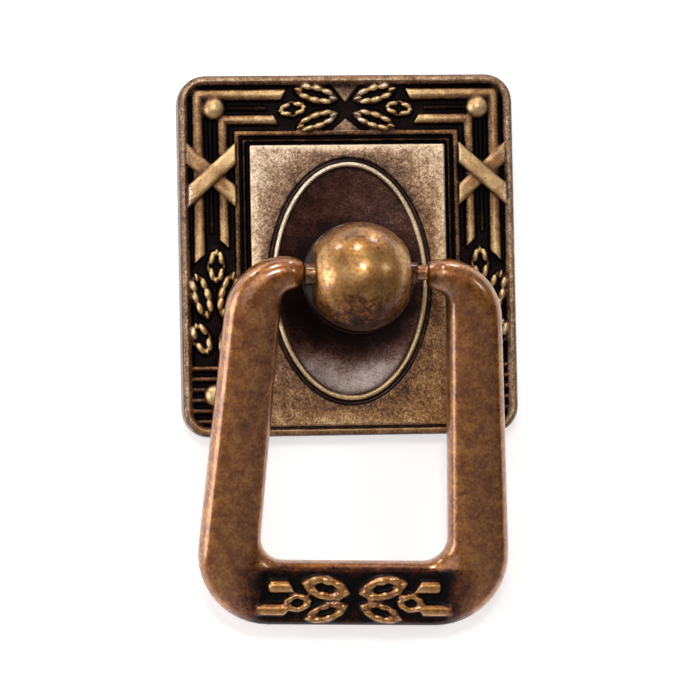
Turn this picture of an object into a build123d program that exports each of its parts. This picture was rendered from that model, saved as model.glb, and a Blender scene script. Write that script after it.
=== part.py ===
from build123d import *
import math
import os

os.makedirs("parts", exist_ok=True)

# All sizes are in millimetres. The plate's back lies on the plane Y = 0, its front faces -Y,
# +Z is up, and the origin is on the axis of the fixing hole.

# Backplate
plate_width = 42.0
plate_height = 44.9
plate_top = 25.8
plate_corner = 3.4
rim_level = 3.0
rim_width = 1.1
rim_bevel = 0.55
border_floor = 2.1
hollow_depth = 0.9
hollow_wall = 2.4
fixing_boss_radius = 5.6
hollow_corner = 2.4

# Raised field with its oval recess, as far in from the plate's sides as from its top
field_inset = 8.75
field_level = 3.5
field_foot = 1.15
field_bevel = 0.12
oval_half_width = 9.74
oval_half_height = 14.86
oval_wire_width = 0.62
oval_wire_height = 0.3
oval_floor = 2.7

# Border mouldings, each placed by its distance from the plate's edge
outer_reed_inset = 2.35
inner_reed_inset = 5.45
reed_radius = 0.82
fillet_inset = 3.95
fillet_width = 0.5
fillet_height = 0.35
band_inset = 6.8
band_width = 0.7
band_height = 0.5
ridge_inset = 7.92
ridge_width = 0.36
ridge_height = 0.4
reed_rise = 0.05
moulding_end = -2.0

# Beads, flutes and crossed ribbons of the border. The insets are from the plate's side and top,
# or from its side and bottom for the lower bead.
bead_radius = 1.5
bead_sides = 14
bead_steps = (-12, 30, 55, 76)
bead_rise = 0.2
upper_bead_inset = (4.35, 4.05)
lower_bead_inset = (4.0, 5.1)
flute_pitch = 1.33
flute_radius = 0.4
flute_first = -10.55
flute_bottom_inset = 1.9
flute_outer_inset = 1.0
flute_inner_inset = 6.4
ribbon_inset = (4.03, 12.35)
ribbon_reach = 3.03
ribbon_width = 2.0
ribbon_slope = 41.5
ribbon_height = 1.35
ribbon_under = 0.3
ribbon_camber = 0.55
ribbon_bevel = 0.28

# Laurel leaves: length, width and turn in degrees come after their place, which is the inset
# from the plate's side and z for a side leaf, and x and the inset from the top for a top leaf
leaf_height = 1.0
leaf_root = 0.25
leaf_taper = 26.0
side_leaves = [
    (4.4, 2.6, 4.6, 2.6, 90),
    (2.45, -1.5, 6.1, 2.6, 106),
    (5.75, -1.5, 6.1, 2.6, 74),
    (2.45, -6.9, 4.4, 2.4, 114),
    (5.75, -6.9, 4.4, 2.4, 66),
]
top_leaves = [
    (-6.85, 4.15, 3.5, 1.75, 8),
    (-3.6, 2.4, 5.5, 2.1, -14),
    (-3.65, 5.4, 5.3, 2.1, 20),
]
side_halo_tip = 6.4
side_halo_shoulder = -0.5
side_halo_half_width = 3.75
top_halo_tip = -10.6
top_halo_shoulder = -6.2
top_halo_half_height = 2.6
web_half_width = 2.3
halo_bulge = 0.72
side_halo_bulge = 3.9
top_halo_bulge = 2.6
side_halo_foot = -4.0
web_rim_gap = 0.05
web_band_gap = 0.1
upper_web_tip = 0.55
lower_web_tip = 1.6

# Post with its ball head
pivot_depth = 12.9
ball_radius = 6.7
ball_flat = 5.8
collar_radius = 6.9
collar_width = 1.1
collar_back = 3.0
collar_step = 1.0
collar_step_radius = 5.2
neck_radius = 2.9
foot_radius = 4.3
foot_thickness = 0.8
foot_bevel = 0.3
spigot_radius = 3.0
spigot_flat = 2.5
spigot_clearance = 0.1
thread_radius = 1.65
thread_length = 9.0
boss_radius = 1.3
boss_reach = 1.2
boss_bevel = 0.15
pivot_rise = 0.4

# Bail
pin_radius = 0.9
pin_clearance = 0.07
pin_hole_depth = 3.0
pin_length = 2.75
side_play = 0.76
side_rest = 0.55
arm_width = 3.9
arm_overlap = 1.25
arm_end_bevel = 0.5
leg_top_outer = 16.7
leg_top_inner = 10.15
leg_outer_spread = 3.4
leg_inner_spread = 1.7
loop_cant = 1.5
loop_drop = 36.2
bar_height = 8.1
bail_depth = 5.2
elbow_outer_turn = 7.4
elbow_inner_turn = 1.1
elbow_lead = 0.04
corner_outer_turn = 9.0
corner_inner_turn = 3.0
elbow_start_drop = 2.5
bail_bevels = (1.35, 0.5)
bevel_match = 0.01
surface_gap = 0.15

# Relief on the right half of the bail's bar, placed from the middle of the bar
carving_half_length = 12.6
carving_lip = 0.75
carving_front = 1.75
carving_edge_front = 1.0
carving_flat = 1.2
bar_leaf_height = 0.75
bar_leaves = [
    (3.65, 0.75, 5.5, 2.4, 12),
    (7.0, -1.05, 2.9, 1.9, -8),
    (3.35, -2.3, 4.9, 2.0, -14),
]
bar_rods = [(7.45, 10.7, 0.75), (8.3, 12.3, -1.95)]
bar_rod_radius = 0.8
bar_rod_sink = 0.1


def front_place(x, z, level, turn=0.0):
    # A place on the plate's front, at a level above its back
    return Plane.XZ.offset(level).location * Location((x, z, 0), (0, 0, turn))


def laurel_leaf(length, width, height):
    # A pointed leaf with sloping sides, hollowed along its vein
    half_length = length / 2
    half_width = width / 2
    with BuildPart() as leaf:
        with BuildSketch(Plane.XY.offset(-leaf_root)):
            with BuildLine():
                Polyline(
                    (-half_length, 0),
                    (-half_length * 0.5, -half_width * 0.8),
                    (0, -half_width),
                    (half_length * 0.5, -half_width * 0.8),
                    (half_length, 0),
                    (half_length * 0.5, half_width * 0.8),
                    (0, half_width),
                    (-half_length * 0.5, half_width * 0.8),
                    close=True,
                )
            make_face()
        extrude(amount=leaf_root + height, taper=leaf_taper)
        with BuildSketch(Plane.XY.offset(height * 0.4)):
            with BuildLine():
                vein = half_length * 0.7
                vein_side = half_width * 0.26
                Polyline((-vein, 0), (0, -vein_side), (vein, 0), (0, vein_side), close=True)
            make_face()
        extrude(amount=height, mode=Mode.SUBTRACT)
    return leaf.part


plate_middle = plate_top - plate_height / 2
plate_bottom = plate_top - plate_height
plate_side = plate_width / 2
field_half_width = plate_side - field_inset
field_top = plate_top - field_inset
field_bottom = plate_bottom + field_foot
ribbon_centre = (-plate_side + ribbon_inset[0], plate_top - ribbon_inset[1])
upper_bead = (-plate_side + upper_bead_inset[0], plate_top - upper_bead_inset[1])
lower_bead = (-plate_side + lower_bead_inset[0], plate_bottom + lower_bead_inset[1])
# The flutes fill the border from the leaves down to the rim
flute_last = plate_bottom + flute_bottom_inset
flute_count = 1 + max(0, round((flute_first - flute_last) / flute_pitch))
leaf_places = [(-plate_side + inset, z, *sizes) for inset, z, *sizes in side_leaves]
leaf_places += [(x, plate_top - inset, *sizes) for x, inset, *sizes in top_leaves]

# One ribbon band: an arched strip, cut from a low vault over the two reeds
with BuildPart() as ribbon:
    with BuildSketch(Plane.XZ):
        with BuildLine():
            rise = ribbon_reach * math.tan(math.radians(ribbon_slope))
            half_strip = ribbon_width / 2 / math.cos(math.radians(ribbon_slope))
            Polyline(
                (-ribbon_reach, -rise - half_strip),
                (-ribbon_reach, -rise + half_strip),
                (ribbon_reach, rise + half_strip),
                (ribbon_reach, rise - half_strip),
                close=True,
            )
        make_face()
    extrude(amount=ribbon_height)
    with BuildSketch(Plane.XY):
        with BuildLine():
            shoulder = ribbon_height - ribbon_camber
            ThreePointArc((-ribbon_reach, -shoulder), (0, -ribbon_height), (ribbon_reach, -shoulder))
            Polyline(
                (ribbon_reach, -shoulder), (ribbon_reach, 0), (-ribbon_reach, 0), (-ribbon_reach, -shoulder)
            )
        make_face()
    extrude(amount=plate_height, both=True, mode=Mode.INTERSECT)
    chamfer(ribbon.faces().sort_by(Axis.Y)[0].edges(), ribbon_bevel)

# Bead: the front of a ball, cut as rings of small flats between steps of latitude in degrees
with BuildPart() as bead:
    for low, high in zip(bead_steps, bead_steps[1:]):
        low_radius = bead_radius * math.cos(math.radians(max(low, 0)))
        high_radius = bead_radius * math.cos(math.radians(high))
        low_level = bead_radius * math.sin(math.radians(low))
        height = bead_radius * math.sin(math.radians(high)) - low_level
        with BuildSketch(Plane.XY.offset(low_level)):
            RegularPolygon(low_radius, bead_sides, major_radius=False)
        extrude(amount=height, taper=math.degrees(math.atan((low_radius - high_radius) / height)))

# Reeds and fillets of the left half, stopping short of the leaf clusters
with BuildPart() as mouldings:
    for inset in (outer_reed_inset, inner_reed_inset):
        side_x = -plate_side + inset
        top_z = plate_top - inset
        with BuildLine(Plane.XZ.offset(border_floor + reed_rise)) as run:
            Polyline((side_x, moulding_end), (side_x, top_z), (moulding_end, top_z))
        with BuildSketch(Plane(run.line @ 0, z_dir=run.line % 0)):
            Circle(reed_radius)
        sweep(path=run.line, transition=Transition.RIGHT)
    with BuildSketch(Plane.XZ.offset(border_floor - leaf_root)):
        with BuildLine():
            side_x = -plate_side + fillet_inset
            top_z = plate_top - fillet_inset
            Polyline(
                (side_x, moulding_end),
                (side_x, top_z),
                (moulding_end, top_z),
                (moulding_end, top_z - fillet_width),
                (side_x + fillet_width, top_z - fillet_width),
                (side_x + fillet_width, moulding_end),
                close=True,
            )
        make_face()
    extrude(amount=fillet_height + leaf_root)
    # The hollow round each leaf cluster ends the mouldings in slanted tips
    side_x = ribbon_centre[0]
    with BuildSketch(Plane.XZ):
        with BuildLine():
            left_end = (side_x - side_halo_half_width, side_halo_foot)
            right_end = (side_x + side_halo_half_width, side_halo_foot)
            left_side = (side_x - side_halo_half_width, side_halo_shoulder)
            right_side = (side_x + side_halo_half_width, side_halo_shoulder)
            bulge = halo_bulge * side_halo_half_width
            bulge_z = side_halo_shoulder + side_halo_bulge
            ThreePointArc(left_side, (side_x - bulge, bulge_z), (side_x, side_halo_tip))
            ThreePointArc((side_x, side_halo_tip), (side_x + bulge, bulge_z), right_side)
            Polyline(right_side, right_end, left_end, left_side)
        make_face()
    extrude(amount=field_level, mode=Mode.SUBTRACT)
    top_z = plate_top - fillet_inset
    with BuildSketch(Plane.XZ):
        with BuildLine():
            upper_side = (top_halo_shoulder, top_z + top_halo_half_height)
            lower_side = (top_halo_shoulder, top_z - top_halo_half_height)
            bulge = halo_bulge * top_halo_half_height
            bulge_x = top_halo_shoulder - top_halo_bulge
            ThreePointArc(upper_side, (bulge_x, top_z + bulge), (top_halo_tip, top_z))
            ThreePointArc((top_halo_tip, top_z), (bulge_x, top_z - bulge), lower_side)
            Polyline(
                lower_side,
                (0, top_z - top_halo_half_height),
                (0, top_z + top_halo_half_height),
                upper_side,
            )
        make_face()
    extrude(amount=field_level, mode=Mode.SUBTRACT)

# Everything that stands on the left half of the border
with BuildPart() as ornament:
    add(mouldings.part)
    with Locations(front_place(*ribbon_centre, border_floor - ribbon_under).position):
        add(ribbon.part.mirror(Plane.YZ))
    with Locations(front_place(*ribbon_centre, border_floor).position):
        add(ribbon.part)
    bead_level = border_floor + bead_rise
    with Locations(front_place(*upper_bead, bead_level), front_place(*lower_bead, bead_level)):
        add(bead.part)
    with BuildSketch(Plane.YZ.offset(-plate_side + flute_outer_inset)):
        for count in range(flute_count):
            with Locations((-border_floor, flute_first - count * flute_pitch)):
                RegularPolygon(flute_radius, 8, rotation=22.5)
    extrude(amount=flute_inner_inset - flute_outer_inset)
    for x, z, length, width, turn in leaf_places:
        with Locations(front_place(x, z, border_floor, turn)):
            add(laurel_leaf(length, width, leaf_height))

with BuildPart() as backplate:
    with BuildSketch(Plane.XZ):
        with Locations((0, plate_middle)):
            RectangleRounded(plate_width, plate_height, plate_corner)
    extrude(amount=rim_level)
    chamfer(backplate.faces().sort_by(Axis.Y)[0].edges(), rim_bevel)
    # Border ground, sunk between the rim and the field
    with BuildSketch(Plane.XZ.offset(border_floor)):
        with Locations((0, plate_middle)):
            RectangleRounded(
                plate_width - 2 * rim_width, plate_height - 2 * rim_width, plate_corner - rim_width
            )
    extrude(amount=field_level, mode=Mode.SUBTRACT)
    with BuildSketch(Plane.XZ.offset(border_floor - leaf_root)):
        with BuildLine():
            Polyline(
                (-field_half_width, field_bottom),
                (-field_half_width, field_top),
                (field_half_width, field_top),
                (field_half_width, field_bottom),
                close=True,
            )
        make_face()
    extrude(amount=field_level - border_floor + leaf_root)
    chamfer(backplate.faces().sort_by(Axis.Y)[0].edges(), field_bevel)
    # Flat band and thin ridge, which follow the field's sides and top
    for inset, width, height in (
        (band_inset, band_width, band_height),
        (ridge_inset, ridge_width, ridge_height),
    ):
        far_x = plate_side - inset
        far_z = plate_top - inset
        with BuildSketch(Plane.XZ.offset(border_floor - leaf_root)):
            with BuildLine():
                Polyline(
                    (-far_x, field_bottom),
                    (-far_x, far_z),
                    (far_x, far_z),
                    (far_x, field_bottom),
                    (far_x - width, field_bottom),
                    (far_x - width, far_z - width),
                    (-far_x + width, far_z - width),
                    (-far_x + width, field_bottom),
                    close=True,
                )
            make_face()
        extrude(amount=height + leaf_root)
    # Webs between the two leaf clusters at the middle of the top
    upper_base = plate_top - rim_width - web_rim_gap
    lower_base = plate_top - band_inset - web_band_gap
    middle_line = plate_top - fillet_inset
    with BuildSketch(Plane.XZ.offset(border_floor - leaf_root)):
        with BuildLine():
            Polyline(
                (-web_half_width, upper_base),
                (web_half_width, upper_base),
                (0, middle_line + upper_web_tip),
                close=True,
            )
        make_face()
        with BuildLine():
            Polyline(
                (-web_half_width, lower_base),
                (0, middle_line - lower_web_tip),
                (web_half_width, lower_base),
                close=True,
            )
        make_face()
    extrude(amount=band_height + leaf_root)
    add(ornament.part)
    add(ornament.part.mirror(Plane.YZ))
    # Oval recess, ringed by a raised wire
    with BuildSketch(Plane.XZ.offset(oval_floor)):
        Ellipse(oval_half_width, oval_half_height)
    extrude(amount=field_level + oval_wire_height - oval_floor)
    with BuildSketch(Plane.XZ.offset(oval_floor)):
        Ellipse(oval_half_width - oval_wire_width, oval_half_height - oval_wire_width)
    extrude(amount=field_level, mode=Mode.SUBTRACT)
    # Shallow hollow in the back, with a boss left round the fixing hole
    with BuildSketch(Plane.XZ):
        with Locations((0, plate_middle)):
            RectangleRounded(plate_width - 2 * hollow_wall, plate_height - 2 * hollow_wall, hollow_corner)
        Circle(fixing_boss_radius, mode=Mode.SUBTRACT)
    extrude(amount=hollow_depth, mode=Mode.SUBTRACT)
    # The hole has the spigot's two flats, so that the post can't turn
    with BuildSketch(Plane.XZ):
        Circle(spigot_radius + spigot_clearance)
        Rectangle(
            2 * (spigot_flat + spigot_clearance), 4 * spigot_radius, mode=Mode.INTERSECT
        )
    extrude(amount=field_level, mode=Mode.SUBTRACT)
backplate.part.label = "backplate"
export_step(backplate.part, "parts/backplate.step")

# Ball head, flat on its two sides and cut off square at the back, where it meets the collar
shoulder = collar_back - collar_width
with BuildPart() as ball:
    with BuildSketch(Plane.XY):
        with BuildLine():
            flat_edge = math.sqrt(ball_radius**2 - ball_flat**2)
            ThreePointArc((-ball_flat, flat_edge), (0, ball_radius), (ball_flat, flat_edge))
            Polyline((ball_flat, flat_edge), (ball_flat, 0), (-ball_flat, 0), (-ball_flat, flat_edge))
        make_face()
    revolve(axis=Axis.X)
    split(bisect_by=Plane.XZ.offset(-shoulder), keep=Keep.TOP)

# Post: spigot, foot, neck and collar turned on one axis, in one piece with the ball
with BuildPart() as post:
    with BuildSketch(Plane.XY):
        with BuildLine():
            collar_y = -pivot_depth + collar_back
            foot_y = -oval_floor - foot_thickness
            Polyline((0, 0), (spigot_radius, 0), (spigot_radius, -oval_floor), (foot_radius, -oval_floor))
            Polyline(
                (foot_radius, -oval_floor),
                (foot_radius, foot_y + foot_bevel),
                (foot_radius - foot_bevel, foot_y),
                (neck_radius, foot_y),
                (neck_radius, collar_y + collar_step),
                (collar_step_radius, collar_y + collar_step),
                (collar_step_radius, collar_y),
                (collar_radius, collar_y),
                (collar_radius, collar_y - collar_width),
                (0, collar_y - collar_width),
                (0, 0),
            )
        make_face()
    revolve(axis=Axis.Y)
    with Locations((0, -pivot_depth, 0)):
        add(ball.part)
    # Side bosses and the pin holes in them
    with BuildSketch(Plane.YZ):
        with Locations((-pivot_depth, pivot_rise)):
            Circle(boss_radius)
    extrude(amount=ball_flat + boss_reach, both=True)
    boss_faces = post.faces().sort_by(Axis.X)
    chamfer(boss_faces[0].edges() + boss_faces[-1].edges(), boss_bevel)
    for side in (-1, 1):
        with BuildSketch(Plane.YZ.offset(side * (ball_flat + boss_reach))):
            with Locations((-pivot_depth, pivot_rise)):
                Circle(pin_radius + pin_clearance)
        extrude(amount=-side * pin_hole_depth, mode=Mode.SUBTRACT)
    # Flats on the spigot
    with BuildSketch(Plane.XZ):
        Rectangle(4 * spigot_radius, 4 * spigot_radius)
        Rectangle(2 * spigot_flat, 4 * spigot_radius, mode=Mode.SUBTRACT)
    extrude(amount=oval_floor, mode=Mode.SUBTRACT)
    # Blind hole for the fixing screw
    with BuildSketch(Plane.XZ):
        Circle(thread_radius)
    extrude(amount=thread_length, mode=Mode.SUBTRACT)
post.part.label = "post"
export_step(post.part, "parts/post.step")

# The bail hangs on the pivot and leans back until its bar rests on the surface behind the plate
bar_drop = loop_drop + bar_height / 2
lean = 0.0
for _ in range(8):
    bar_reach = bail_depth / 2 * math.cos(lean) + (bar_height / 2 - bail_bevels[0]) * math.sin(lean)
    lean = math.asin((pivot_depth - surface_gap - bar_reach) / bar_drop)
bail_plane = Plane(
    origin=(side_rest, -pivot_depth, pivot_rise),
    x_dir=(1, 0, 0),
    z_dir=(0, -math.cos(lean), -math.sin(lean)),
)
# The loop hangs a little askew on its pins
loop_plane = bail_plane.rotated((0, 0, -loop_cant))
bar_plane = Plane(
    origin=loop_plane.from_local_coords((0, -bar_drop, 0)), x_dir=loop_plane.z_dir, z_dir=loop_plane.x_dir
)
arm_end = ball_flat + boss_reach + side_play
# The loop's inner turn begins just beyond the face where its elbow starts
elbow_start = leg_top_inner - elbow_inner_turn - elbow_lead
elbow_turn = min(elbow_outer_turn, leg_top_outer - elbow_start)
bar_foot = -loop_drop - bar_height
ground_reach = bar_height / 2 - carving_lip
ground_fall = (carving_front - carving_edge_front) / (ground_reach - carving_flat)

def loop_side(edge):
    # How far the middle of an edge lies to the side of the bail's centre line
    return abs(loop_plane.to_local_coords(edge.center()).X)


# Relief on the right half of the bar: laurel leaves and two short rods
with BuildPart() as relief:
    for start, end, rise in bar_rods:
        front = carving_front - ground_fall * max(0, abs(rise) - carving_flat)
        with BuildSketch(bar_plane.offset(start)):
            with Locations((front - bar_rod_sink, -rise)):
                Circle(bar_rod_radius)
        extrude(amount=end - start)
    for x, rise, length, width, turn in bar_leaves:
        front = carving_front - ground_fall * max(0, abs(rise) - carving_flat)
        tilt = math.degrees(math.atan(ground_fall)) if abs(rise) > carving_flat else 0
        seat = Location((x, rise - bar_drop, front), (math.copysign(tilt, -rise), 0, 0))
        with Locations(loop_plane.location * seat * Location((0, 0, 0), (0, 0, turn))):
            add(laurel_leaf(length, width, bar_leaf_height))

with BuildPart() as bail:
    with BuildSketch(loop_plane):
        with BuildLine():
            outer = FilletPolyline(
                (elbow_start, arm_width / 2),
                (leg_top_outer, arm_width / 2),
                (leg_top_outer + leg_outer_spread, bar_foot),
                (0, bar_foot),
                radius=(elbow_turn, corner_outer_turn),
            )
            inner = FilletPolyline(
                (elbow_start, -elbow_start_drop),
                (leg_top_inner, -elbow_start_drop),
                (leg_top_inner + leg_inner_spread, -loop_drop),
                (0, -loop_drop),
                radius=(elbow_inner_turn, corner_inner_turn),
            )
            Line(outer @ 0, inner @ 0)
            Line(outer @ 1, inner @ 1)
        make_face()
        mirror(about=Plane.YZ)
    extrude(amount=bail_depth / 2, both=True)
    # Two bevels round off the section all along the loop, but not at the arms' end faces
    for bevel in bail_bevels:
        outline = bail.faces().filter_by(loop_plane).edges()
        chamfer([edge for edge in outline if abs(loop_side(edge) - elbow_start) > bevel_match], bevel)
    # Turned arm ends, each with the pin that enters one of the post's side bosses
    with BuildSketch(bail_plane):
        with BuildLine():
            Polyline(
                (elbow_start + arm_overlap, 0),
                (elbow_start + arm_overlap, arm_width / 2),
                (arm_end + arm_end_bevel, arm_width / 2),
                (arm_end, arm_width / 2 - arm_end_bevel),
                (arm_end, pin_radius),
                (arm_end - pin_length, pin_radius),
                (arm_end - pin_length, 0),
                close=True,
            )
        make_face()
        mirror(about=Plane.YZ)
    revolve(axis=Axis(bail_plane.origin, bail_plane.x_dir))
    # The bar's carved ground, sunk between an upper and a lower lip
    with BuildSketch(bar_plane):
        with BuildLine():
            Polyline(
                (bail_depth, -ground_reach),
                (carving_edge_front, -ground_reach),
                (carving_front, -carving_flat),
                (carving_front, carving_flat),
                (carving_edge_front, ground_reach),
                (bail_depth, ground_reach),
                close=True,
            )
        make_face()
    extrude(amount=carving_half_length, both=True, mode=Mode.SUBTRACT)
    add(relief.part)
    add(relief.part.mirror(Plane(loop_plane.origin, z_dir=loop_plane.x_dir)))
bail.part.label = "bail"
export_step(bail.part, "parts/bail.step")
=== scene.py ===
import math

import bpy
import numpy as np
from mathutils import Matrix, Vector


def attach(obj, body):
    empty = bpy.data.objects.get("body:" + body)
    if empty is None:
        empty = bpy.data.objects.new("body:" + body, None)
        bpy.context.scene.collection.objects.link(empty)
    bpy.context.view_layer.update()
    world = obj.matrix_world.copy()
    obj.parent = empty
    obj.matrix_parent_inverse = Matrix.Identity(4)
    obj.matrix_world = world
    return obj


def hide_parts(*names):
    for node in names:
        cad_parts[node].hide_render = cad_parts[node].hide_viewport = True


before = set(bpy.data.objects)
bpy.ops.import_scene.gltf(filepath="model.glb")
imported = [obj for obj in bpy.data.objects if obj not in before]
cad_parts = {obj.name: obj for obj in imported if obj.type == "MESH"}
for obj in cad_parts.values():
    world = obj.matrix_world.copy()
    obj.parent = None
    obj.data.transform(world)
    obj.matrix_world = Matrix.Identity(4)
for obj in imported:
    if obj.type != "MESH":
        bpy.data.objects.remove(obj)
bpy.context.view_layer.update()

# Shapes are modelled in millimetres and brought to metres when a casting is finished.
# On the plate a "level" is the height above its back, so it runs along -Y.
millimetre = 0.001


def selectOnly(*pieces):
    bpy.ops.object.select_all(action="DESELECT")
    for piece in pieces:
        piece.select_set(True)
    bpy.context.view_layer.objects.active = pieces[0]


def applyPlace(piece):
    selectOnly(piece)
    bpy.ops.object.transform_apply(location=True, rotation=True, scale=True)
    return piece


def finishWith(piece, kind, **settings):
    # adds a modifier and applies it at once
    selectOnly(piece)
    modifier = piece.modifiers.new(kind.lower(), kind)
    for name, value in settings.items():
        setattr(modifier, name, value)
    bpy.ops.object.modifier_apply(modifier=modifier.name)
    return piece


def pickParts(piece, mode, test):
    # goes into edit mode with only the faces or edges that pass the test selected
    selectOnly(piece)
    bpy.ops.object.mode_set(mode="EDIT")
    bpy.ops.mesh.select_mode(type=mode)
    bpy.ops.mesh.select_all(action="DESELECT")
    bpy.ops.object.mode_set(mode="OBJECT")
    parts = piece.data.polygons if mode == "FACE" else piece.data.edges
    for part in parts:
        part.select = test(part)
    bpy.ops.object.mode_set(mode="EDIT")


def leaveEdit():
    bpy.ops.object.mode_set(mode="OBJECT")


def faceOutward(piece):
    selectOnly(piece)
    bpy.ops.object.mode_set(mode="EDIT")
    bpy.ops.mesh.select_all(action="SELECT")
    bpy.ops.mesh.normals_make_consistent(inside=False)
    leaveEdit()


def cutAway(piece, point, normal):
    # takes off what lies beyond a plane and closes the cut
    selectOnly(piece)
    bpy.ops.object.mode_set(mode="EDIT")
    bpy.ops.mesh.select_all(action="SELECT")
    bpy.ops.mesh.bisect(plane_co=point, plane_no=normal, use_fill=True, clear_outer=True)
    leaveEdit()


def copyOf(piece, place):
    copied = piece.copy()
    copied.data = piece.data.copy()
    bpy.context.scene.collection.objects.link(copied)
    copied.data.transform(place)
    if place.determinant() < 0:
        copied.data.flip_normals()
    return copied


def joinAs(name, parts):
    selectOnly(*parts)
    bpy.ops.object.join()
    piece = bpy.context.object
    piece.name = name
    piece.data.name = name
    return piece


def removePieces(*pieces):
    for piece in pieces:
        mesh = piece.data
        bpy.data.objects.remove(piece)
        bpy.data.meshes.remove(mesh)


def addBlock(left, right, bottom, top, low, high):
    bpy.ops.mesh.primitive_cube_add(
        size=1,
        location=((left + right) / 2, -(low + high) / 2, (bottom + top) / 2),
        scale=(right - left, high - low, top - bottom),
    )
    return applyPlace(bpy.context.object)


def addRod(start, end, radius, sides=28):
    start, end = Vector(start), Vector(end)
    along = end - start
    bpy.ops.mesh.primitive_cylinder_add(
        vertices=sides,
        radius=radius,
        depth=along.length,
        location=(start + end) / 2,
        rotation=along.to_track_quat("Z", "Y").to_euler(),
    )
    return applyPlace(bpy.context.object)


def addBall(centre, radii, segments=32):
    bpy.ops.mesh.primitive_uv_sphere_add(
        segments=segments, ring_count=segments // 2, radius=1, location=centre, scale=radii
    )
    return applyPlace(bpy.context.object)


def cutOut(piece, cutter):
    selectOnly(piece)
    modifier = piece.modifiers.new("cut", "BOOLEAN")
    modifier.operation = "DIFFERENCE"
    modifier.solver = "EXACT"
    modifier.object = cutter
    bpy.ops.object.modifier_apply(modifier=modifier.name)


leafForm = {  # in a leaf of half length 1 and half width 1, so each lobe has its half sizes
    "tipPlace": 0.78, "tipLength": 0.2, "tipWidth": 0.18,
    "rowReach": 0.46, "rowAside": 0.55, "rowBow": 0.3, "rowLean": 0.7, "rowLength": 0.78,
    "lobeWidth": 0.32, "lobeHeight": 0.5, "swell": 1.06, "narrowing": 0.34,
}


def addLaurelLeaf(form, sideLobes, ringWidth, ringHeight):
    # lies along X and rises along Z: a pointed ring, and two rows of lobes in it with a slot between them
    bpy.ops.mesh.primitive_torus_add(
        major_segments=48, minor_segments=12, major_radius=1 - ringWidth, minor_radius=ringWidth,
    )
    ring = bpy.context.object
    ring.data.transform(Matrix.Diagonal((1, 1, ringHeight / ringWidth, 1)))
    parts = [ring]
    lobes = [(side * form["tipPlace"], 0, form["tipLength"], form["tipWidth"], 0) for side in (-1, 1)]
    for side in (-1, 1):
        for count in range(sideLobes):
            x = -form["rowReach"] + 2 * form["rowReach"] * count / (sideLobes - 1)
            y = side * (form["rowAside"] - form["rowBow"] * x * x)
            lean = side * math.atan(-form["rowLean"] * x)
            lobes.append((x, y, form["rowLength"] / sideLobes, form["lobeWidth"], lean))
    for x, y, halfLength, halfWidth, lean in lobes:
        bpy.ops.mesh.primitive_uv_sphere_add(
            segments=14, ring_count=8, radius=1, location=(x, y, form["lobeHeight"]),
            rotation=(0, 0, lean), scale=(halfLength, halfWidth, form["lobeHeight"]),
        )
        parts.append(applyPlace(bpy.context.object))
    leaf = joinAs("laurelLeaf", parts)
    for vertex in leaf.data.vertices:
        vertex.co.y *= form["swell"] - form["narrowing"] * vertex.co.x ** 2
    return leaf


def addLeaves(rows, sizes, spotOf):
    # a copy of a leaf for each row, which says its place, length, width, turn and lobes on each side
    lengthMargin, widthMargin = sizes["leafMargin"]
    leaves = {sideLobes: addLaurelLeaf(leafForm, sideLobes, *sizes["leafRing"]) for sideLobes in (2, 3)}
    copies = []
    for x, y, length, width, turn, sideLobes in rows:
        size = Matrix.Diagonal((length / 2 + lengthMargin, width / 2 + widthMargin, sizes["leafHeight"], 1))
        copies.append(copyOf(leaves[sideLobes], spotOf(x, y, turn) @ size))
    removePieces(*leaves.values())
    return copies


def plateSpot(x, z, level, turn):
    # from a shape that rises along Z to the same shape standing on the plate's front
    return (
        Matrix.Translation((x, -level, z))
        @ Matrix.Rotation(math.radians(90), 4, "X")
        @ Matrix.Rotation(math.radians(turn), 4, "Z")
    )


class ReliefMap:
    # a map of how high the outer side of a casting stands, and of the mean height around each spot
    cell = 0.16
    margin = 4
    empty = -1000.0
    blurs = (0.45, 1.5)  # how far the near and the wide surroundings of a spot reach
    leastFacing = 0.1
    leastWeight = 0.02

    def __init__(self, piece, toLocal):
        self.toLocal = toLocal
        spots, normals = self.read(piece)
        self.low = spots[:, :2].min(0) - self.margin
        self.size = np.ceil((spots[:, :2].max(0) + self.margin - self.low) / self.cell).astype(int)
        height = np.full(self.size, self.empty)
        facing = normals[:, 2] > self.leastFacing
        np.maximum.at(height, self.cellsOf(spots[facing]), spots[facing, 2])
        known = height > self.empty
        height[~known] = 0
        self.means = []
        for blur in self.blurs:
            weight = np.maximum(self.blurred(known.astype(float), blur), self.leastWeight)
            self.means.append(self.blurred(height, blur) / weight)

    def read(self, piece):
        count = len(piece.data.vertices)
        spots = np.empty(count * 3)
        normals = np.empty(count * 3)
        piece.data.vertices.foreach_get("co", spots)
        piece.data.vertices.foreach_get("normal", normals)
        turn = np.array(self.toLocal)
        spots = spots.reshape(-1, 3) @ turn[:3, :3].T + turn[:3, 3]
        normals = normals.reshape(-1, 3) @ turn[:3, :3].T
        return spots, normals

    def cellsOf(self, spots):
        cells = np.floor((spots[:, :2] - self.low) / self.cell).astype(int)
        cells = np.clip(cells, 0, self.size - 1)
        return cells[:, 0], cells[:, 1]

    def blurred(self, field, blur):
        # a Gaussian blur, worked out on the field's frequencies
        across = np.fft.fftfreq(self.size[0])[:, None]
        along = np.fft.rfftfreq(self.size[1])[None, :]
        fall = np.exp(-2 * (math.pi * blur / self.cell) ** 2 * (across**2 + along**2))
        return np.fft.irfft2(np.fft.rfft2(field) * fall, s=tuple(self.size))

    def heights(self, piece):
        # each vertex's place, and its height over its near and its wide surroundings, in millimetres
        spots, normals = self.read(piece)
        columns = self.cellsOf(spots)
        facing = np.clip(normals[:, 2] * 3, 0, 1)
        return spots, [facing * (spots[:, 2] - mean[columns]) for mean in self.means]


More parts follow.
